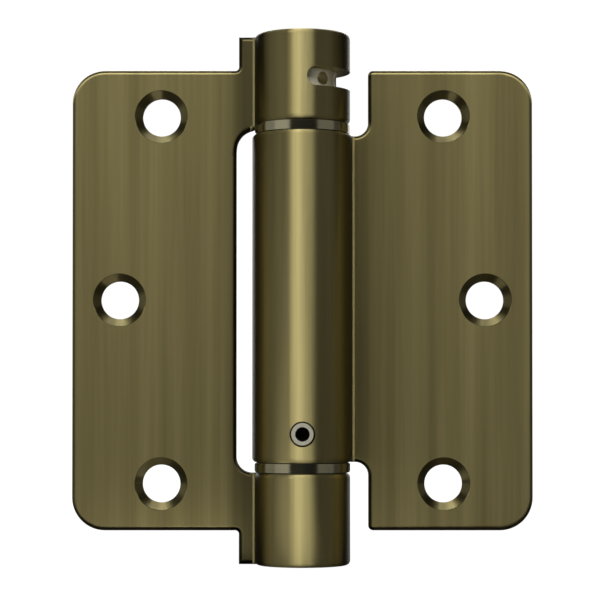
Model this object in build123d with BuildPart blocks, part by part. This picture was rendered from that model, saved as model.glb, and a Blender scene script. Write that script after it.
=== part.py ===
from build123d import *
import math
import os

os.makedirs("parts", exist_ok=True)

# Adjustable spring hinge, lying open flat. Millimetres, Z along the barrel, its middle at the origin.
# The countersunk faces look towards -Y, the frame leaf lies towards -X and the door leaf towards +X.

# Both leaves
leaf_height = 88.9
open_width = 88.9
leaf_corner_radius = 6.35
sheet = 2.6  # thickness of the sheet that both leaves are stamped from
closed_gap = 1.6  # between the countersunk faces once the leaves are folded together
edge_round = 0.9  # tumbled front edges of the leaves and ends of the rolls
root_round = 0.4  # inside of the sharp bend where a leaf turns into the front of its roll
seam_root_round = 1.0  # outside corner between a roll and the back of its leaf
seam_width = 0.12  # slit between the free end of a roll and the back of its leaf

# Frame leaf and its two knuckles
knuckle_radius = 9.18
knuckle_overhang = 6.5  # how far the knuckles stand out beyond the ends of the leaves
ear_reach = 12.26  # how far the ears beside the knuckles stand out from the axis
ear_root_round = 0.7
slot_reach = 12.74  # slot between the knuckles, from the axis
slot_lower_round = 3.1
slot_corner_height = 6.4  # upper corner of the slot, drawn out where it runs round onto the roll
slot_corner_length = 8.44
slot_corner_points = [(0.64, 2.75), (1.64, 1.65), (3.04, 1.0), (5.04, 0.28)]  # in from its side, down

# Door leaf and its barrel
barrel_radius = 9.66
notch_depth = 12.95  # from the end of the leaf to the end of the barrel, on average
barrel_rise = 0.25  # of the middle of the barrel above the middle of the leaves
neck_reach = 12.72  # edge of the notches, from the axis
neck_root_round = 2.6
notch_corner_round = 0.95

# Screw holes, given from the free edges and the ends of the leaves
screw_hole_radius = 3.66
countersink_radius = 5.12
countersink_angle = 82
outer_screw_from_edge = 17.2
outer_screw_from_end = 9.0
middle_screw_from_edge = 9.15

# Gap between barrel and knuckle, with its thrust ring
knuckle_gap = 2.05
ring_thickness = 1.9
ring_edge_round = 0.45

# Adjusting slot in the top knuckle, angles counted from the front towards the door leaf
adjust_slot_height = 3.65
adjust_slot_drop = 9.0  # from the end of the knuckle to the middle of the slot
adjust_slot_from = 5.5
adjust_slot_to = 150

# Tension collar and its spindle
collar_clearance = 0.06  # radial, in the knuckle's bore
collar_hole_radius = 1.25
collar_hole_count = 8
collar_hole_angle = 36.9  # of the hole that shows in the slot
collar_hole_bottom = 3.9  # distance of the holes' bottoms from the axis
collar_washer_thickness = 0.8
spindle_radius = 3.4
spindle_above_holes = 2.6
spindle_chamfer = 0.4
collar_pin_radius = 1.2
collar_pin_wall = 0.5
collar_pin_slit = 0.4
collar_pin_drop = 4.4  # below the radial holes
collar_pin_angle = 90

# End caps
cap_thickness = 2.2
cap_recess = 0.15
cap_chamfer = 0.4

# Torsion spring of flat wire and what it seats on
wire_width = 1.9  # across the wall of the coil
wire_height = 2.4  # along the axis
coil_gap = 0.2  # between turns, about
spring_radius = 6.6  # outside of the coil
tail_radius = 4.3  # of the spindle's tail and the anchor's boss, inside the coil
tail_length = 6.0
seat_thickness = 0.8
upper_bushing_length = 5.0

# Spring anchor with its set screw and bushing
anchor_length = 11.5
anchor_recess = 0.5
anchor_boss_length = 5.8
lower_bushing_wall = 1.25
lower_bushing_length = 7.3
set_screw_radius = 2.4
set_screw_length = 4.1
set_screw_rise = 5.45  # above the lower end of the barrel
set_screw_recess = 0.12
set_screw_chamfer = 0.35
socket_across_flats = 2.38
socket_depth = 2.1

# Pivot in the bottom knuckle
pivot_radius = 3.4
pivot_in_plug = 10.0
pivot_in_bushing = 6.8

# Fits
running_clearance = 0.05  # radial, between pieces that turn on each other
seat_clearance = 0.02  # radial, between pieces pushed together
end_play = 0.05  # along the axis, between faces that turn on each other
slot_clearance = 0.1  # each side of a tang in its slot
collar_headroom = 0.2  # between the collar and the top cap
overcut = 1  # how far a cutting shape runs past the surface it cuts
on_plane = 0.001  # how near an edge must lie to a plane to be picked there

# Worked out from the above
leaf_half = leaf_height / 2
half_width = open_width / 2
barrel_top = leaf_half - notch_depth + barrel_rise
barrel_bottom = notch_depth - leaf_half + barrel_rise
knuckle_end = leaf_half + knuckle_overhang
adjust_slot_middle = knuckle_end - adjust_slot_drop
set_screw_height = barrel_bottom + set_screw_rise
leaf_front = closed_gap / 2
leaf_back = leaf_front + sheet
knuckle_bore = knuckle_radius - sheet
barrel_bore = barrel_radius - sheet
upper_knuckle_start = barrel_top + knuckle_gap
lower_knuckle_start = barrel_bottom - knuckle_gap
ring_play = (knuckle_gap - ring_thickness) / 2
upper_ring_top = upper_knuckle_start - ring_play
lower_ring_bottom = lower_knuckle_start + ring_play
seam_middle = leaf_back + seam_root_round / 2
corner_stop = slot_corner_length - slot_reach  # where the slot's upper corner meets the end of the knuckle
ring_bore = spindle_radius + 2 * running_clearance
reach_through = 2 * (barrel_radius + overcut)  # longer than the hinge is deep
front_plane = Plane.XZ.offset(-leaf_front)
outer_screw_reach = half_width - outer_screw_from_edge
outer_screw_height = leaf_half - outer_screw_from_end
screw_places = [
    (outer_screw_reach, outer_screw_height),
    (half_width - middle_screw_from_edge, 0),
    (outer_screw_reach, -outer_screw_height),
]


def save(part, name):
    part.part.label = name
    export_step(part.part, f"parts/{name}.step")


def outward(angle, height):
    """Plane whose normal points out from the axis, the angle counted from the front towards +X."""
    turn = math.radians(angle)
    return Plane(origin=(0, 0, height), x_dir=(math.cos(turn), math.sin(turn), 0),
                 z_dir=(math.sin(turn), -math.cos(turn), 0))


def roll_section(side, radius, bottom, height):
    """Leaf and solid roll seen from above: the leaf bends forward at its root and runs round the front."""
    with BuildSketch(Plane.XY.offset(bottom)) as section:
        Circle(radius)
        with Locations((side * half_width / 2, (leaf_front + leaf_back) / 2)):
            Rectangle(half_width, sheet)
        front_root = section.vertices().sort_by_distance((side * radius, leaf_front))[0]
        fillet(front_root, root_round)
        back_root = section.vertices().sort_by_distance((side * radius, leaf_back))[0]
        fillet(back_root, seam_root_round)
    extrude(section.sketch, amount=height)


def round_outline(part, radius):
    """Rounds the outline of the countersunk face and, with it, the ends of the roll."""
    front_edges = part.edges().filter_by_position(Axis.Y, leaf_front - on_plane, leaf_front + on_plane)
    fillet([edge for edge in front_edges if abs(edge.center().X) > radius + root_round], edge_round)


def screw_holes(side):
    with Locations(front_plane):
        with Locations(*[(side * reach, height) for reach, height in screw_places]):
            CounterSinkHole(screw_hole_radius, countersink_radius, counter_sink_angle=countersink_angle)


def seam(side, radius, bottom, top):
    """Slit between the free end of the roll and the back of the leaf."""
    with BuildSketch(Plane.XY.offset(bottom)) as slit:
        with Locations((side * radius / 2, seam_middle)):
            Rectangle(radius + overcut, seam_width)
    extrude(slit.sketch, amount=top - bottom, mode=Mode.SUBTRACT)


def corner_line(lower):
    """Upper corner of the slot, from its straight side up to the flat end of the knuckle."""
    top = upper_knuckle_start - lower
    drawn_out = [(inset - slot_reach, top - drop) for inset, drop in slot_corner_points]
    Spline((-slot_reach, top - slot_corner_height), *drawn_out, (corner_stop, top), tangents=[(0, 1), (1, 0)])


# Frame leaf: plate, ears and two knuckles
with BuildPart() as frame_leaf:
    roll_section(-1, knuckle_radius, -knuckle_end, 2 * knuckle_end)
    with BuildSketch(Plane.XZ.offset(reach_through / 2)) as frame_outline:
        with BuildLine():
            Polyline(
                (knuckle_radius + overcut, knuckle_end),
                (-ear_reach, knuckle_end),
                (-ear_reach, leaf_half),
                (-half_width, leaf_half),
                (-half_width, -leaf_half),
                (-ear_reach, -leaf_half),
                (-ear_reach, -knuckle_end),
                (knuckle_radius + overcut, -knuckle_end),
                close=True,
            )
        make_face()
        plate_corners = frame_outline.vertices().filter_by_position(Axis.X, -half_width, -half_width)
        fillet(plate_corners, leaf_corner_radius)
        for level in (leaf_half, -leaf_half):
            fillet(frame_outline.vertices().sort_by_distance((-ear_reach, level))[0], ear_root_round)
    extrude(amount=-reach_through, mode=Mode.INTERSECT)
    with BuildSketch(Plane.XZ.offset(reach_through / 2)) as slot_outline:
        with BuildLine():
            corner_line(0)
            Polyline(
                (corner_stop, upper_knuckle_start),
                (knuckle_radius + overcut, upper_knuckle_start),
                (knuckle_radius + overcut, lower_knuckle_start),
                (-slot_reach, lower_knuckle_start),
                (-slot_reach, upper_knuckle_start - slot_corner_height),
            )
        make_face()
        lower_corner = slot_outline.vertices().sort_by_distance((-slot_reach, lower_knuckle_start))[0]
        fillet(lower_corner, slot_lower_round)
    extrude(amount=-reach_through, mode=Mode.SUBTRACT)
    round_outline(frame_leaf, knuckle_radius)
    Cylinder(knuckle_bore, 2 * (knuckle_end + overcut), mode=Mode.SUBTRACT)
    seam(-1, knuckle_radius, -knuckle_end, knuckle_end)
    # The free end of the roll behind the slit is cut square
    with Locations((corner_stop, seam_middle, upper_knuckle_start)):
        Box(knuckle_radius, knuckle_radius, slot_corner_height, mode=Mode.SUBTRACT,
            align=(Align.MAX, Align.MIN, Align.MAX))
    screw_holes(-1)
    # Adjusting slot, with round ends
    end_turn = math.degrees(adjust_slot_height / 2 / knuckle_radius)
    slot_start = outward(adjust_slot_from + end_turn, adjust_slot_middle)
    slot_stop = outward(adjust_slot_to - end_turn, adjust_slot_middle)
    with BuildSketch(Plane(origin=slot_start.origin, x_dir=slot_start.z_dir, z_dir=-slot_start.x_dir)):
        with Locations((knuckle_radius - sheet / 2, 0)):
            Rectangle(sheet + overcut, adjust_slot_height)
    revolve(axis=Axis.Z, revolution_arc=adjust_slot_to - adjust_slot_from - 2 * end_turn, mode=Mode.SUBTRACT)
    with Locations(slot_start, slot_stop):
        Cylinder(adjust_slot_height / 2, knuckle_radius + overcut, mode=Mode.SUBTRACT,
                 align=(Align.CENTER, Align.CENTER, Align.MIN))
save(frame_leaf, "frame_leaf")


# Door leaf: plate, neck and barrel
with BuildPart() as door_leaf:
    roll_section(1, barrel_radius, -leaf_half, leaf_height)
    with BuildSketch(Plane.XZ.offset(reach_through / 2)) as door_outline:
        with BuildLine():
            Polyline(
                (-barrel_radius - overcut, barrel_top),
                (neck_reach, barrel_top),
                (neck_reach, leaf_half),
                (half_width, leaf_half),
                (half_width, -leaf_half),
                (neck_reach, -leaf_half),
                (neck_reach, barrel_bottom),
                (-barrel_radius - overcut, barrel_bottom),
                close=True,
            )
        make_face()
        fillet(door_outline.vertices().filter_by_position(Axis.X, half_width, half_width), leaf_corner_radius)
        for barrel_level, leaf_level in ((barrel_top, leaf_half), (barrel_bottom, -leaf_half)):
            fillet(door_outline.vertices().sort_by_distance((neck_reach, barrel_level))[0], neck_root_round)
            fillet(door_outline.vertices().sort_by_distance((neck_reach, leaf_level))[0], notch_corner_round)
    extrude(amount=-reach_through, mode=Mode.INTERSECT)
    round_outline(door_leaf, barrel_radius)
    Cylinder(barrel_bore, leaf_height, mode=Mode.SUBTRACT)
    seam(1, barrel_radius, barrel_bottom, barrel_top)
    screw_holes(1)
    with Locations(outward(0, set_screw_height)):
        Cylinder(set_screw_radius + seat_clearance, barrel_radius + overcut, mode=Mode.SUBTRACT,
                 align=(Align.CENTER, Align.CENTER, Align.MIN))
save(door_leaf, "door_leaf")


# Thrust rings in the two gaps
def thrust_ring(bottom):
    with BuildPart() as ring:
        with Locations((0, 0, bottom)):
            Cylinder(knuckle_radius, ring_thickness, align=(Align.CENTER, Align.CENTER, Align.MIN))
        fillet(ring.edges().filter_by(GeomType.CIRCLE), ring_edge_round)
        with Locations((0, 0, bottom)):
            Cylinder(ring_bore, ring_thickness, mode=Mode.SUBTRACT,
                     align=(Align.CENTER, Align.CENTER, Align.MIN))
    return ring


# The upper ring is relieved where the drawn-out corner of the slot hangs below the end of the knuckle
with BuildPart() as upper_ring:
    add(thrust_ring(upper_ring_top - ring_thickness).part)
    with BuildSketch(Plane.XZ.offset(-seam_middle)) as relief:
        with BuildLine():
            corner_line(ring_play + end_play)
            Polyline(
                (corner_stop, upper_ring_top - end_play),
                (corner_stop, upper_ring_top + overcut),
                (-slot_reach, upper_ring_top + overcut),
                (-slot_reach, upper_ring_top - end_play - slot_corner_height),
            )
        make_face()
    extrude(relief.sketch, amount=reach_through, mode=Mode.SUBTRACT)
save(upper_ring, "upper_ring")
save(thrust_ring(lower_ring_bottom), "lower_ring")


# Flush caps in the outer ends of the knuckles
def end_cap(side):
    outer_face = side * cap_outer
    with BuildPart() as cap:
        with BuildSketch(Plane.XY.offset(outer_face)) as face:
            Circle(knuckle_bore - seat_clearance)
        extrude(face.sketch, amount=-side * cap_thickness)
        rim = cap.edges().filter_by_position(Axis.Z, outer_face - on_plane, outer_face + on_plane)
        chamfer(rim, cap_chamfer)
    return cap


cap_outer = knuckle_end - cap_recess
cap_inner = cap_outer - cap_thickness
save(end_cap(1), "top_cap")
save(end_cap(-1), "bottom_cap")


# Tension collar: rests on its washer over the upper ring, with a row of radial holes at the slot
collar_radius = knuckle_bore - collar_clearance
collar_bottom = upper_ring_top + collar_washer_thickness + 2 * end_play
collar_top = cap_inner - collar_headroom
spindle_top = adjust_slot_middle + collar_hole_radius + spindle_above_holes
pin_height = adjust_slot_middle - collar_pin_drop
with BuildPart() as collar_washer:
    with Locations((0, 0, upper_ring_top + end_play)):
        Cylinder(collar_radius - seat_clearance, collar_washer_thickness,
                 align=(Align.CENTER, Align.CENTER, Align.MIN))
        Cylinder(ring_bore, collar_washer_thickness, mode=Mode.SUBTRACT,
                 align=(Align.CENTER, Align.CENTER, Align.MIN))
save(collar_washer, "collar_washer")

with BuildPart() as tension_collar:
    with BuildSketch(Plane.XY.offset(collar_bottom)):
        Circle(collar_radius)
    extrude(amount=collar_top - collar_bottom)
    chamfer(tension_collar.edges().filter_by(GeomType.CIRCLE), edge_round)
    with BuildSketch(Plane.XY.offset(collar_bottom)):
        Circle(spindle_radius + seat_clearance)
    extrude(amount=spindle_top + end_play - collar_bottom, mode=Mode.SUBTRACT)
    for number in range(collar_hole_count):
        with Locations(outward(collar_hole_angle + number * 360 / collar_hole_count, adjust_slot_middle)):
            with Locations((0, 0, collar_hole_bottom)):
                Cylinder(collar_hole_radius, collar_radius, mode=Mode.SUBTRACT,
                         align=(Align.CENTER, Align.CENTER, Align.MIN))
    with Locations(outward(collar_pin_angle, pin_height)):
        Cylinder(collar_pin_radius + seat_clearance, 2 * (collar_radius + overcut), mode=Mode.SUBTRACT)
save(tension_collar, "tension_collar")


# Flat-wire torsion spring between its two seats, wound left-hand
upper_bushing_bottom = barrel_top - upper_bushing_length
tail_top = upper_bushing_bottom - end_play
tail_bottom = tail_top - tail_length
spring_top = upper_bushing_bottom - seat_thickness - 2 * end_play
anchor_bottom = barrel_bottom + anchor_recess
anchor_shoulder = anchor_bottom + anchor_length
spring_bottom = anchor_shoulder + seat_thickness + 2 * end_play
coil_radius = spring_radius - wire_width / 2
coil_bore = spring_radius - wire_width
coil_rise = spring_top - spring_bottom - wire_height
spring_turns = round(coil_rise / (wire_height + coil_gap))
tang_reach = coil_bore - slot_clearance


def tail_slot(bottom, length):
    """Slot across a tail for the tang, cut through from side to side."""
    with BuildSketch(Plane.XY.offset(bottom)) as slot:
        Rectangle(2 * (tail_radius + overcut), wire_width + 2 * slot_clearance)
    extrude(slot.sketch, amount=length, mode=Mode.SUBTRACT)


with BuildPart() as spindle:
    with BuildSketch(Plane.XY.offset(tail_bottom)):
        Circle(tail_radius)
    extrude(amount=tail_length)
    with BuildSketch(Plane.XY.offset(tail_bottom)):
        Circle(spindle_radius)
    extrude(amount=spindle_top - tail_bottom)
    chamfer(spindle.edges().group_by(Axis.Z)[-1], spindle_chamfer)
    tail_slot(tail_bottom, spring_top + end_play - tail_bottom)
    with Locations(outward(collar_pin_angle, pin_height)):
        Cylinder(collar_pin_radius + seat_clearance, 2 * (collar_radius + overcut), mode=Mode.SUBTRACT)
save(spindle, "spindle")

# Spring pin through collar and spindle, rolled with an open slit
with BuildPart() as collar_pin:
    with BuildSketch(outward(collar_pin_angle, pin_height)):
        Circle(collar_pin_radius)
        Circle(collar_pin_radius - collar_pin_wall, mode=Mode.SUBTRACT)
        with Locations((collar_pin_radius, 0)):
            Rectangle(2 * collar_pin_radius, collar_pin_slit, mode=Mode.SUBTRACT)
    extrude(amount=collar_radius - 2 * collar_clearance, both=True)
save(collar_pin, "collar_pin")

with BuildPart() as torsion_spring:
    with BuildLine():
        Helix(coil_rise / spring_turns, coil_rise, coil_radius,
              center=(0, 0, spring_bottom + wire_height / 2), lefthand=True)
    with BuildSketch(Plane.XZ):
        with Locations((coil_radius, spring_bottom + wire_height / 2)):
            Rectangle(wire_width, wire_height)
    sweep(is_frenet=True)
    for level in (spring_bottom + wire_height / 2, spring_top - wire_height / 2):
        with Locations(((coil_radius - tang_reach) / 2, 0, level)):
            Box(coil_radius + tang_reach, wire_width, wire_height)
save(torsion_spring, "torsion_spring")


def flat_ring(bottom, thickness, radius, bore):
    with BuildPart() as washer:
        with BuildSketch(Plane.XY.offset(bottom)) as section:
            Circle(radius)
            Circle(bore, mode=Mode.SUBTRACT)
        extrude(section.sketch, amount=thickness)
    return washer


save(flat_ring(spring_top + end_play, seat_thickness, barrel_bore - slot_clearance,
               tail_radius + slot_clearance), "upper_spring_seat")
save(flat_ring(anchor_shoulder + end_play, seat_thickness, barrel_bore - slot_clearance,
               tail_radius + slot_clearance), "lower_spring_seat")
save(flat_ring(upper_bushing_bottom, upper_bushing_length, barrel_bore - seat_clearance,
               spindle_radius + running_clearance), "upper_bushing")


# Spring anchor: a plug in the barrel with a slotted boss above and a bearing bore below
set_screw_face = barrel_radius - set_screw_recess
bushing_radius = pivot_radius + running_clearance + lower_bushing_wall
with BuildPart() as spring_anchor:
    with BuildSketch(Plane.XY.offset(anchor_bottom)):
        Circle(barrel_bore - seat_clearance)
    extrude(amount=anchor_length)
    with BuildSketch(Plane.XY.offset(anchor_bottom)):
        Circle(tail_radius)
    extrude(amount=anchor_length + anchor_boss_length)
    tail_slot(anchor_shoulder, anchor_boss_length)
    with BuildSketch(Plane.XY.offset(anchor_bottom)):
        Circle(bushing_radius + seat_clearance)
    extrude(amount=lower_bushing_length + seat_clearance, mode=Mode.SUBTRACT)
    with Locations(outward(0, set_screw_height)):
        with Locations((0, 0, set_screw_face - set_screw_length - end_play)):
            Cylinder(set_screw_radius + seat_clearance, barrel_bore, mode=Mode.SUBTRACT,
                     align=(Align.CENTER, Align.CENTER, Align.MIN))
save(spring_anchor, "spring_anchor")
save(flat_ring(anchor_bottom, lower_bushing_length, bushing_radius, pivot_radius + running_clearance),
     "lower_bushing")

# Socket set screw, its face just inside the barrel's surface
with BuildPart() as set_screw:
    with BuildSketch(outward(0, set_screw_height).offset(set_screw_face)):
        Circle(set_screw_radius)
    extrude(amount=-set_screw_length)
    chamfer(set_screw.edges().filter_by(GeomType.CIRCLE), set_screw_chamfer)
    with BuildSketch(outward(0, set_screw_height).offset(set_screw_face)):
        RegularPolygon(socket_across_flats / 2, 6, major_radius=False, rotation=30)
    extrude(amount=-socket_depth, mode=Mode.SUBTRACT)
save(set_screw, "set_screw")


# Pivot pin in its plug, fixed in the bottom knuckle
plug_top = lower_ring_bottom - end_play
with BuildPart() as pivot_pin:
    with BuildSketch(Plane.XY.offset(plug_top - pivot_in_plug)):
        Circle(pivot_radius)
    extrude(amount=anchor_bottom + pivot_in_bushing - plug_top + pivot_in_plug)
    chamfer(pivot_pin.edges().filter_by(GeomType.CIRCLE), edge_round)
save(pivot_pin, "pivot_pin")

with BuildPart() as pivot_plug:
    with BuildSketch(Plane.XY.offset(-cap_inner + seat_clearance)):
        Circle(knuckle_bore - seat_clearance)
    extrude(amount=plug_top + cap_inner - seat_clearance)
    with BuildSketch(Plane.XY.offset(plug_top)):
        Circle(pivot_radius + seat_clearance)
    extrude(amount=-pivot_in_plug - seat_clearance, mode=Mode.SUBTRACT)
save(pivot_plug, "pivot_plug")
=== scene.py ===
import bpy
import math
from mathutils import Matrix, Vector

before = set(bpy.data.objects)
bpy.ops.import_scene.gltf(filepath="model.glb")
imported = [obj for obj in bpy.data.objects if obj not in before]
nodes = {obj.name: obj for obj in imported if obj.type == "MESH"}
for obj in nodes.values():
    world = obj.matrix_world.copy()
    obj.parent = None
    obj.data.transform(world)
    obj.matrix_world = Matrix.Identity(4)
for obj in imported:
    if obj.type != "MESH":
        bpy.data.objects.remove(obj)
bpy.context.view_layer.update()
print("frame loaded")


def srgb(red, green, blue):
    # a colour as a picture editor shows it, 0 to 255, turned into linear light
    def linear(value):
        value /= 255
        return value / 12.92 if value <= 0.04045 else ((value + 0.055) / 1.055) ** 2.4
    return (linear(red), linear(green), linear(blue), 1.0)


white = srgb(255, 255, 255)


# Helpers for node trees, where a value is a number, a vector, a colour or the output of another node
def feed(tree, socket, value):
    if isinstance(value, bpy.types.NodeSocket):
        tree.links.new(value, socket)
    else:
        socket.default_value = value


def feedNamed(tree, node, values):
    for name, value in values.items():
        feed(tree, node.inputs[name], value)


def addNode(tree, kind, *values, **settings):
    node = tree.nodes.new(kind)
    for name, value in settings.items():
        setattr(node, name, value)
    for socket, value in zip(node.inputs, values):
        feed(tree, socket, value)
    return node


def calculate(tree, operation, *values):
    return addNode(tree, "ShaderNodeMath", *values, operation=operation).outputs[0]


def calculateVector(tree, operation, *values):
    return addNode(tree, "ShaderNodeVectorMath", *values, operation=operation)


def separate(tree, vector):
    return addNode(tree, "ShaderNodeSeparateXYZ", vector).outputs


def combine(tree, x, y, z):
    return addNode(tree, "ShaderNodeCombineXYZ", x, y, z).outputs[0]


def mapRange(tree, value, fromMin, fromMax, toMin=0.0, toMax=1.0, curve="LINEAR"):
    return addNode(tree, "ShaderNodeMapRange", value, fromMin, fromMax, toMin, toMax,
                   interpolation_type=curve).outputs[0]


mixSlots = {"FLOAT": (2, 3, 0), "VECTOR": (4, 5, 1), "RGBA": (6, 7, 2)}  # the two inputs and the output


def mix(tree, factor, low, high, kind="FLOAT"):
    lowSlot, highSlot, result = mixSlots[kind]
    node = addNode(tree, "ShaderNodeMix", factor, data_type=kind)
    feed(tree, node.inputs[lowSlot], low)
    feed(tree, node.inputs[highSlot], high)
    return node.outputs[result]


def allOf(tree, *tests):
    # 1 where each test is 1
    result = tests[0]
    for test in tests[1:]:
        result = calculate(tree, "MULTIPLY", result, test)
    return result


def toWorld(tree, vector, kind):
    return addNode(tree, "ShaderNodeVectorTransform", vector, vector_type=kind,
                   convert_from="OBJECT", convert_to="WORLD").outputs[0]


def colourRamp(tree, factor, stops):
    node = addNode(tree, "ShaderNodeValToRGB", factor)
    elements = node.color_ramp.elements
    while len(elements) < len(stops):
        elements.new(1.0)
    for element, (position, colour) in zip(elements, stops):
        element.position = position
        element.color = colour
    return node.outputs["Color"]


def bump(tree, height, normal, strength, distance):
    node = addNode(tree, "ShaderNodeBump")
    feedNamed(tree, node, {"Height": height, "Normal": normal, "Strength": strength, "Distance": distance})
    return node.outputs[0]


def newMaterial(name):
    material = bpy.data.materials.new(name)
    material.use_nodes = True
    tree = material.node_tree
    tree.nodes.clear()
    shader = addNode(tree, "ShaderNodeBsdfPrincipled")
    addNode(tree, "ShaderNodeOutputMaterial", shader.outputs[0])
    return material, tree, shader


# Long brushed streaks that run up the surface, with fine scratches between them.
# A stretch shortens them along the axis, and the detail and roughness are those of the noise.
streakShape = {"stretch": 1.0, "detail": 4.0}
scratchShape = {"stretch": 3.0, "detail": 2.0}
streakRoughness = 0.6


def makeStreakGroup():
    group = bpy.data.node_groups.new("brushedStreaks", "ShaderNodeTree")
    for direction, names in (("INPUT", ("Wide", "Fine", "Length")), ("OUTPUT", ("Streaks", "Scratches"))):
        for name in names:
            group.interface.new_socket(name=name, in_out=direction, socket_type="NodeSocketFloat")
    start = group.nodes.new("NodeGroupInput")
    end = group.nodes.new("NodeGroupOutput")
    point = separate(group, addNode(group, "ShaderNodeTexCoord").outputs["Object"])

    def stretched(density, shape):
        along = calculate(group, "MULTIPLY", point["Z"], start.outputs["Length"])
        place = combine(group, calculate(group, "MULTIPLY", point["X"], density),
                        calculate(group, "MULTIPLY", point["Y"], density),
                        calculate(group, "MULTIPLY", along, shape["stretch"]))
        noise = addNode(group, "ShaderNodeTexNoise")
        feedNamed(group, noise, {
            "Vector": place, "Scale": 1.0, "Detail": shape["detail"], "Roughness": streakRoughness,
        })
        return noise.outputs["Fac"]

    feedNamed(group, end, {
        "Streaks": stretched(start.outputs["Wide"], streakShape),
        "Scratches": stretched(start.outputs["Fine"], scratchShape),
    })
    return group


streakGroup = makeStreakGroup()


def addStreaks(tree, densities):
    # Wide and Fine count across the streaks and scratches, Length along both, per metre
    node = addNode(tree, "ShaderNodeGroup", node_tree=streakGroup)
    feedNamed(tree, node, densities)
    return node.outputs["Streaks"], node.outputs["Scratches"]


# Antique brass plating of both leaves: the flat plates are brushed lengthwise, the rolls are turned.
# The edges of the plates, the edges of the notches and the sides of the rolls are painted darker as painted
# shade, the plate faces are painted lighter than the rolls as painted light, and a bright line where a plate
# leaves its roll is a painted highlight.
# A share multiplies the colour. Places are metres from the barrel's axis and middle.
leafFinishAndPaintedLight = {
    "streaks": {"Wide": 260.0, "Fine": 2600.0, "Length": 6.0},
    "colours": [(0.30, srgb(160, 148, 100)), (0.50, srgb(178, 166, 114)), (0.74, srgb(196, 184, 130))],
    # the flat plate lies beyond the roll and behind its front, and its face is painted lighter than the rolls
    # as painted light
    "plateReach": 0.00957, "plateFront": 0.00075, "plateLightShare": 1.42,
    # how squarely an edge and the plate face the front, and the edges of the notches; the edges and notch
    # edges are painted darker as painted shade
    "edgeFacing": 0.90, "plateFacing": 0.995, "edgeShare": 0.45, "notchReach": 0.0138, "notchShadeShare": 0.16,
    # sides of the rolls, painted darker towards the plates as painted shade
    "sideStart": 0.0058, "sideFull": 0.0086, "sideShadeShare": 0.25,
    # left leaf beside its knuckles, painted darker as painted shade
    "shadeStart": -0.0160, "shadeFull": -0.0106, "shadeShare": 0.42,
    # painted highlight: a bright line where a plate leaves its roll, nearer to the axis on the knuckles
    "lineStart": 0.00966, "knuckleLineStart": 0.00922, "knuckleFrom": 0.0336, "lineWidth": 0.0004,
    "lineFacing": -0.3, "lineLean": (0.106, 0, 0), "lineNormal": (0, -0.918, 0.386),
    "leftHighlightShare": 0.31, "rightHighlightShare": 0.62,
    # countersinks round the middles of the screw holes, their colour painted slightly darker as painted shade
    "outerHole": (0.02725, 0, 0.03545), "middleHole": (0.0353, 0, 0),
    "sinkRadius": 0.0053, "sinkDepth": 0.00088, "sinkShadeShare": 0.95, "sinkRoughness": 0.35,
    "plateRoughness": (0.58, 0.66), "rollRoughness": (0.52, 0.58), "anisotropy": 1.0,
    "bumpStrength": 0.25, "bumpDistance": 0.00002,
}


def findLeafPlaces(tree):
    # where a point lies, and masks that are 1 in one place of a leaf and 0 elsewhere
    coordinates = addNode(tree, "ShaderNodeTexCoord").outputs
    point = separate(tree, coordinates["Object"])
    facing = separate(tree, coordinates["Normal"])["Y"]
    reach = calculate(tree, "ABSOLUTE", point["X"])
    rise = calculate(tree, "ABSOLUTE", point["Z"])
    # one quarter of the hinge stands for all four, and the signs turn a direction back to its own quarter
    folded = combine(tree, reach, 0.0, rise)
    offsets = [calculateVector(tree, "SUBTRACT", folded, leafFinishAndPaintedLight[hole]).outputs["Vector"]
               for hole in ("outerHole", "middleHole")]
    distances = [calculateVector(tree, "LENGTH", offset).outputs["Value"] for offset in offsets]
    nearest = calculate(tree, "MINIMUM", *distances)
    onKnuckle = calculate(tree, "GREATER_THAN", rise, leafFinishAndPaintedLight["knuckleFrom"])
    lineStart = mix(tree, onKnuckle, leafFinishAndPaintedLight["lineStart"], leafFinishAndPaintedLight["knuckleLineStart"])
    pastStart = calculate(tree, "SUBTRACT", reach, lineStart)
    return {
        "x": point["X"],
        "reach": reach,
        "front": calculate(tree, "ABSOLUTE", facing),
        "signs": calculateVector(tree, "SIGN", coordinates["Object"]).outputs["Vector"],
        "fromHole": mix(tree, calculate(tree, "GREATER_THAN", *distances), *offsets, kind="VECTOR"),
        "right": calculate(tree, "GREATER_THAN", point["X"], 0.0),
        "notch": calculate(tree, "LESS_THAN", reach, leafFinishAndPaintedLight["notchReach"]),
        "plate": allOf(tree, calculate(tree, "GREATER_THAN", reach, leafFinishAndPaintedLight["plateReach"]),
                       calculate(tree, "GREATER_THAN", point["Y"], leafFinishAndPaintedLight["plateFront"])),
        "sink": allOf(tree, calculate(tree, "LESS_THAN", nearest, leafFinishAndPaintedLight["sinkRadius"]),
                      calculate(tree, "GREATER_THAN", point["Y"], leafFinishAndPaintedLight["sinkDepth"])),
        "highlightLine": allOf(tree, calculate(tree, "GREATER_THAN", pastStart, 0.0),
                      calculate(tree, "LESS_THAN", pastStart, leafFinishAndPaintedLight["lineWidth"]),
                      calculate(tree, "LESS_THAN", facing, leafFinishAndPaintedLight["lineFacing"])),
    }


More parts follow.
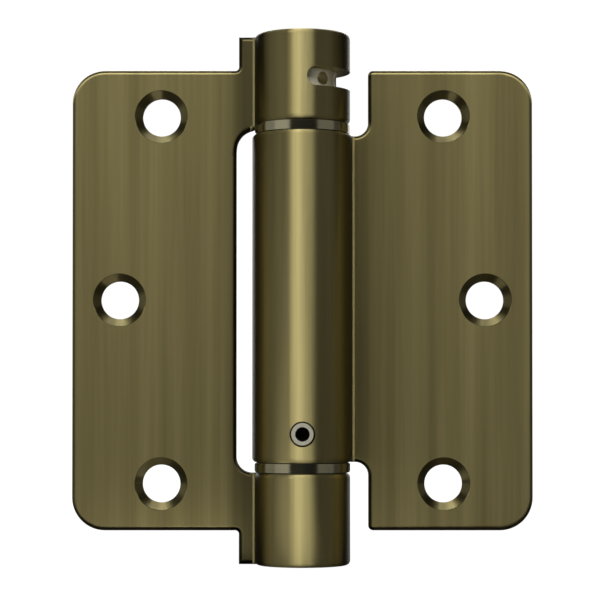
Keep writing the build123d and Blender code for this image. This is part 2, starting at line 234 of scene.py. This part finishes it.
def shareOfLeaf(tree, places):
    # painted shade on the edges and notch edges, and painted light on the plate faces
    edge = mix(tree, places["notch"], leafFinishAndPaintedLight["edgeShare"], leafFinishAndPaintedLight["notchShadeShare"])
    face = mapRange(tree, places["front"], leafFinishAndPaintedLight["edgeFacing"], leafFinishAndPaintedLight["plateFacing"], edge,
                    leafFinishAndPaintedLight["plateLightShare"])
    # painted shade: the left leaf is painted darker beside its knuckles
    shadeBesideKnuckle = mapRange(tree, places["x"], leafFinishAndPaintedLight["shadeStart"], leafFinishAndPaintedLight["shadeFull"], 1.0,
                             leafFinishAndPaintedLight["shadeShare"], "SMOOTHSTEP")
    plate = calculate(tree, "MULTIPLY", face, mix(tree, places["right"], shadeBesideKnuckle, 1.0))
    # painted shade: the rolls are painted darker towards the plates on both sides, dimming the plates'
    # reflection in them
    roll = mapRange(tree, places["reach"], leafFinishAndPaintedLight["sideStart"], leafFinishAndPaintedLight["sideFull"], 1.0,
                    leafFinishAndPaintedLight["sideShadeShare"], "SMOOTHSTEP")
    # painted light and shade of plates and rolls, times the painted shade of the countersinks
    paintedLightAndShade = calculate(tree, "MULTIPLY", mix(tree, places["plate"], roll, plate),
                        mix(tree, places["sink"], 1.0, leafFinishAndPaintedLight["sinkShadeShare"]))
    # painted highlight: a thin bright line is painted where a plate leaves its roll
    highlightLine = mix(tree, places["right"], leafFinishAndPaintedLight["leftHighlightShare"], leafFinishAndPaintedLight["rightHighlightShare"])
    return mix(tree, places["highlightLine"], paintedLightAndShade, highlightLine)


def roughnessOfLeaf(tree, places, scratches):
    brushed = mix(tree, places["plate"], mix(tree, scratches, *leafFinishAndPaintedLight["rollRoughness"]),
                  mix(tree, scratches, *leafFinishAndPaintedLight["plateRoughness"]))
    return mix(tree, places["sink"], brushed, leafFinishAndPaintedLight["sinkRoughness"])


def tangentOfLeaf(tree, places):
    # gloss spreads across the brushing: sideways on the plates, up and down on the turned rolls,
    # and away from the middle in the turned countersinks
    brushed = mix(tree, places["plate"], (0, 0, 1), (1, 0, 0), kind="VECTOR")
    outward = calculateVector(tree, "MULTIPLY", places["fromHole"], places["signs"]).outputs["Vector"]
    return toWorld(tree, mix(tree, places["sink"], brushed, outward, kind="VECTOR"), "VECTOR")


def normalOfLeaf(tree, places, scratches):
    # along the painted highlight line the shading normal is turned up towards the lamps, as for a tiny hollow
    hollow = calculateVector(tree, "MULTIPLY_ADD", places["signs"], leafFinishAndPaintedLight["lineLean"],
                             leafFinishAndPaintedLight["lineNormal"]).outputs["Vector"]
    smooth = mix(tree, places["highlightLine"], addNode(tree, "ShaderNodeNewGeometry").outputs["Normal"],
                 toWorld(tree, hollow, "NORMAL"), kind="VECTOR")
    return bump(tree, scratches, smooth, leafFinishAndPaintedLight["bumpStrength"], leafFinishAndPaintedLight["bumpDistance"])


def makeLeafMaterial():
    material, tree, shader = newMaterial("antiqueBrass")
    streaks, scratches = addStreaks(tree, leafFinishAndPaintedLight["streaks"])
    places = findLeafPlaces(tree)
    colour = calculateVector(tree, "SCALE", colourRamp(tree, streaks, leafFinishAndPaintedLight["colours"]))
    feed(tree, colour.inputs["Scale"], shareOfLeaf(tree, places))
    feedNamed(tree, shader, {
        "Base Color": colour.outputs["Vector"], "Metallic": 1.0, "Anisotropic": leafFinishAndPaintedLight["anisotropy"],
        "Roughness": roughnessOfLeaf(tree, places, scratches), "Tangent": tangentOfLeaf(tree, places),
        "Normal": normalOfLeaf(tree, places, scratches),
    })
    return material


# Plain metals: streaks darken the colour down to darkShare, and scratches vary the roughness by roughSpread
plainFinish = {
    "streaks": {"Wide": 900.0, "Fine": 4000.0, "Length": 60.0}, "darkShare": 0.75, "roughSpread": 0.04,
}
plainMetals = {
    "brightZinc": {"colour": srgb(246, 240, 214), "roughness": 0.50},
    "plainSteel": {"colour": srgb(170, 170, 168), "roughness": 0.35},
    "springSteel": {"colour": srgb(90, 90, 92), "roughness": 0.38},
}


def makePlainMaterial(name):
    material, tree, shader = newMaterial(name)
    streaks, scratches = addStreaks(tree, plainFinish["streaks"])
    colour = plainMetals[name]["colour"]
    dark = tuple(plainFinish["darkShare"] * part for part in colour[:3]) + (1,)
    roughness = plainMetals[name]["roughness"]
    spread = plainFinish["roughSpread"]
    feedNamed(tree, shader, {
        "Base Color": colourRamp(tree, streaks, [(0, dark), (1, colour)]), "Metallic": 1.0,
        "Roughness": mix(tree, scratches, roughness - spread, roughness + spread),
    })
    return material


boxMiddle = 0.5  # of a Generated coordinate, which runs from 0 to 1 over its piece

# Thrust rings: turned smooth, and rounded over so softly that they shine as one plain band.
# The painted shade on the edges, in the grooves against the knuckles and the barrel, starts and is full at
# shares of the ring's thickness from its middle.
ringFinishAndShade = {
    "streaks": {"Wide": 60.0, "Fine": 300.0, "Length": 9000.0},
    "colour": srgb(140, 135, 110), "edge": srgb(34, 32, 24), "edgeStart": 0.44, "edgeFull": 0.48,
    "roughness": 0.17, "edgeRoughness": 0.6, "bumpStrength": 0.2, "bumpDistance": 0.00001,
}


def makeRingMaterial():
    material, tree, shader = newMaterial("ringBrass")
    scratches = addStreaks(tree, ringFinishAndShade["streaks"])[1]
    coordinates = addNode(tree, "ShaderNodeTexCoord").outputs
    level = separate(tree, coordinates["Generated"])["Z"]
    fromMiddle = calculate(tree, "ABSOLUTE", calculate(tree, "SUBTRACT", level, boxMiddle))
    # painted shade at the ring's top and bottom edges
    edge = mapRange(tree, fromMiddle, ringFinishAndShade["edgeStart"], ringFinishAndShade["edgeFull"])
    outward = calculateVector(tree, "MULTIPLY", coordinates["Object"], (1, 1, 0)).outputs["Vector"]
    outward = calculateVector(tree, "NORMALIZE", outward).outputs["Vector"]
    feedNamed(tree, shader, {
        "Base Color": mix(tree, edge, ringFinishAndShade["colour"], ringFinishAndShade["edge"], kind="RGBA"), "Metallic": 1.0,
        "Roughness": mix(tree, edge, ringFinishAndShade["roughness"], ringFinishAndShade["edgeRoughness"]),
        "Normal": bump(tree, scratches, toWorld(tree, outward, "NORMAL"), ringFinishAndShade["bumpStrength"],
                       ringFinishAndShade["bumpDistance"]),
    })
    return material


# Set screw: bright zinc, with painted shade as a dark socket and a dark rim, at shares of its diameter from
# its middle
screwFinishAndShade = {
    "streaks": {"Wide": 1500.0, "Fine": 5000.0, "Length": 1500.0},
    "colours": [(0, srgb(205, 200, 180)), (1, srgb(250, 244, 222))], "dark": srgb(24, 22, 20),
    "socketReach": 0.285, "rimStart": 0.42, "rimFull": 0.46, "roughness": 0.42, "darkRoughness": 0.7,
}


def makeScrewMaterial():
    material, tree, shader = newMaterial("screwZinc")
    streaks = addStreaks(tree, screwFinishAndShade["streaks"])[0]
    point = separate(tree, addNode(tree, "ShaderNodeTexCoord").outputs["Generated"])
    place = combine(tree, point["X"], 0.0, point["Z"])
    distance = calculateVector(tree, "DISTANCE", place, (boxMiddle, 0, boxMiddle)).outputs["Value"]
    # painted shade in the socket and round the rim
    dark = calculate(tree, "MAXIMUM", calculate(tree, "LESS_THAN", distance, screwFinishAndShade["socketReach"]),
                     mapRange(tree, distance, screwFinishAndShade["rimStart"], screwFinishAndShade["rimFull"]))
    bright = colourRamp(tree, streaks, screwFinishAndShade["colours"])
    feedNamed(tree, shader, {
        "Base Color": mix(tree, dark, bright, screwFinishAndShade["dark"], kind="RGBA"), "Metallic": 1.0,
        "Roughness": mix(tree, dark, screwFinishAndShade["roughness"], screwFinishAndShade["darkRoughness"]),
    })
    return material


# Bearing nylon: off-white, with a faint mottle
nylonFinish = {
    "streaks": {"Wide": 700.0, "Fine": 3000.0, "Length": 700.0},
    "colours": [(0.3, srgb(214, 210, 198)), (0.7, srgb(234, 231, 220))], "roughness": (0.40, 0.52),
}


def makeNylonMaterial():
    material, tree, shader = newMaterial("bearingNylon")
    streaks, scratches = addStreaks(tree, nylonFinish["streaks"])
    feedNamed(tree, shader, {
        "Base Color": colourRamp(tree, streaks, nylonFinish["colours"]),
        "Roughness": mix(tree, scratches, *nylonFinish["roughness"]),
    })
    return material


def giveMaterial(material, *names):
    for name in names:
        nodes[name].data.materials.clear()
        nodes[name].data.materials.append(material)


giveMaterial(makeLeafMaterial(), "frame_leaf", "door_leaf", "top_cap", "bottom_cap")
giveMaterial(makeRingMaterial(), "upper_ring", "lower_ring")
giveMaterial(makePlainMaterial("brightZinc"), "tension_collar", "spring_anchor")
giveMaterial(makeScrewMaterial(), "set_screw")
giveMaterial(makePlainMaterial("plainSteel"), "spindle", "upper_spring_seat", "lower_spring_seat",
             "pivot_pin", "pivot_plug")
giveMaterial(makePlainMaterial("springSteel"), "torsion_spring", "collar_pin")
giveMaterial(makeNylonMaterial(), "collar_washer", "upper_bushing", "lower_bushing")
print("materials made")

# Floor and backdrop in one sweep, white to the camera and dark in the metal, apart from a strip of the
# floor in front that is bright in the metal. Sizes are metres, and lights are strengths or shares.
sweepSettings = {
    "floor": -0.0510, "front": -0.16, "back": 0.40, "side": 0.30, "top": 0.45, "bend": 0.12, "bendSteps": 16,
    "stripLeft": -0.035, "stripRight": 0.010, "stripFront": -0.12, "stripBack": -0.013, "stripLight": 1.25,
    "diffuse": 0.8, "mirrored": 0.05, "glow": 1.06, "glowShare": 0.9,
}


def makeSweepMesh():
    profile = [(sweepSettings["front"], sweepSettings["floor"])]
    bend = sweepSettings["bend"]
    middle = (sweepSettings["back"] - bend, sweepSettings["floor"] + bend)
    for step in range(sweepSettings["bendSteps"] + 1):
        angle = math.pi / 2 * step / sweepSettings["bendSteps"]
        profile.append((middle[0] + bend * math.sin(angle), middle[1] - bend * math.cos(angle)))
    profile.append((sweepSettings["back"], sweepSettings["top"]))
    points = [(side * sweepSettings["side"], y, z) for y, z in profile for side in (-1, 1)]
    faces = [(2 * i, 2 * i + 1, 2 * i + 3, 2 * i + 2) for i in range(len(profile) - 1)]
    mesh = bpy.data.meshes.new("sweep")
    mesh.from_pydata(points, [], faces)
    for face in mesh.polygons:
        face.use_smooth = True
    return mesh


def mixShaders(tree, factor, low, high):
    return addNode(tree, "ShaderNodeMixShader", factor, low, high).outputs[0]


def makeSweepMaterial():
    material = bpy.data.materials.new("paleSweep")
    material.use_nodes = True
    tree = material.node_tree
    tree.nodes.clear()
    path = addNode(tree, "ShaderNodeLightPath").outputs
    point = separate(tree, addNode(tree, "ShaderNodeTexCoord").outputs["Object"])
    shade = mix(tree, path["Is Glossy Ray"], sweepSettings["diffuse"], sweepSettings["mirrored"])
    diffuse = addNode(tree, "ShaderNodeBsdfDiffuse", shade).outputs[0]
    glow = addNode(tree, "ShaderNodeEmission", white, sweepSettings["glow"]).outputs[0]
    seenGlow = calculate(tree, "MULTIPLY", path["Is Camera Ray"], sweepSettings["glowShare"])
    floor = mixShaders(tree, seenGlow, diffuse, glow)
    inStrip = allOf(tree, path["Is Glossy Ray"],
                    calculate(tree, "GREATER_THAN", point["X"], sweepSettings["stripLeft"]),
                    calculate(tree, "LESS_THAN", point["X"], sweepSettings["stripRight"]),
                    calculate(tree, "GREATER_THAN", point["Y"], sweepSettings["stripFront"]),
                    calculate(tree, "LESS_THAN", point["Y"], sweepSettings["stripBack"]))
    strip = addNode(tree, "ShaderNodeEmission", white, sweepSettings["stripLight"]).outputs[0]
    addNode(tree, "ShaderNodeOutputMaterial", mixShaders(tree, inStrip, floor, strip))
    return material


sweep = bpy.data.objects.new("sweep", makeSweepMesh())
sweep.data.materials.append(makeSweepMaterial())
bpy.context.scene.collection.objects.link(sweep)

# The room is white to the camera and nearly dark to everything else
roomDim = (0.03, 0.03, 0.03, 1)


def makeWorld():
    world = bpy.data.worlds.new("studio")
    bpy.context.scene.world = world
    world.use_nodes = True
    tree = world.node_tree
    tree.nodes.clear()
    dim = addNode(tree, "ShaderNodeBackground", roomDim).outputs[0]
    bright = addNode(tree, "ShaderNodeBackground", white).outputs[0]
    isCamera = addNode(tree, "ShaderNodeLightPath").outputs["Is Camera Ray"]
    addNode(tree, "ShaderNodeOutputWorld", mixShaders(tree, isCamera, dim, bright))


makeWorld()

# Soft boxes: azimuth from the front towards +X, elevation, distance, width, height and radiance
softBoxes = {
    "overheadLeft": (-16, 45, 0.9, 0.36, 0.5, 9.9),
    "overheadRight": (16, 45, 0.9, 0.30, 0.5, 5.2),
    "leftPanel": (-51, 3, 0.8, 0.58, 0.5, 0.95),
    "leftEdge": (-88, 3, 0.8, 0.45, 0.5, 0.55),
    "rightPanel": (59, 3, 0.8, 0.66, 0.5, 0.38),
    "rightEdge": (96, 3, 0.8, 0.4, 0.5, 0.10),
    "backPanel": (180, 42, 0.35, 0.25, 0.2, 6.0),
    "backLeft": (-162, 12, 0.38, 0.24, 0.3, 1.6),
    "backRight": (162, 12, 0.38, 0.24, 0.3, 1.3),
}


def makeSoftBox(name, azimuth, elevation, distance, width, height, radiance):
    light = bpy.data.lights.new(name, "AREA")
    light.shape = "RECTANGLE"
    light.size = width
    light.size_y = height
    light.energy = radiance * math.pi * width * height
    azimuth = math.radians(azimuth)
    elevation = math.radians(elevation)
    away = Vector((math.sin(azimuth) * math.cos(elevation), -math.cos(azimuth) * math.cos(elevation),
                   math.sin(elevation)))
    lamp = bpy.data.objects.new(name, light)
    lamp.location = away * distance
    lamp.rotation_mode = "QUATERNION"
    lamp.rotation_quaternion = away.to_track_quat("Z", "Y")
    bpy.context.scene.collection.objects.link(lamp)


for name, values in softBoxes.items():
    makeSoftBox(name, *values)
print("stage and lights made")

# Camera: a little low and tilted up slightly. Distances in metres, tilt in degrees, lens in millimetres.
cameraView = {
    "distance": 0.410, "height": -0.0205, "tilt": 1.0, "lens": 127.85, "sensor": 36.0,
    "shiftX": -0.004, "shiftY": 0.1150, "nearest": 0.01,
}


def makeCamera():
    data = bpy.data.cameras.new("camera")
    data.lens = cameraView["lens"]
    data.sensor_width = cameraView["sensor"]
    data.shift_x = cameraView["shiftX"]
    data.shift_y = cameraView["shiftY"]
    data.clip_start = cameraView["nearest"]
    camera = bpy.data.objects.new("camera", data)
    camera.location = (0, -cameraView["distance"], cameraView["height"])
    camera.rotation_euler = (math.radians(90 + cameraView["tilt"]), 0, 0)
    bpy.context.scene.collection.objects.link(camera)
    bpy.context.scene.camera = camera


makeCamera()
bpy.context.scene.view_settings.view_transform = "Standard"
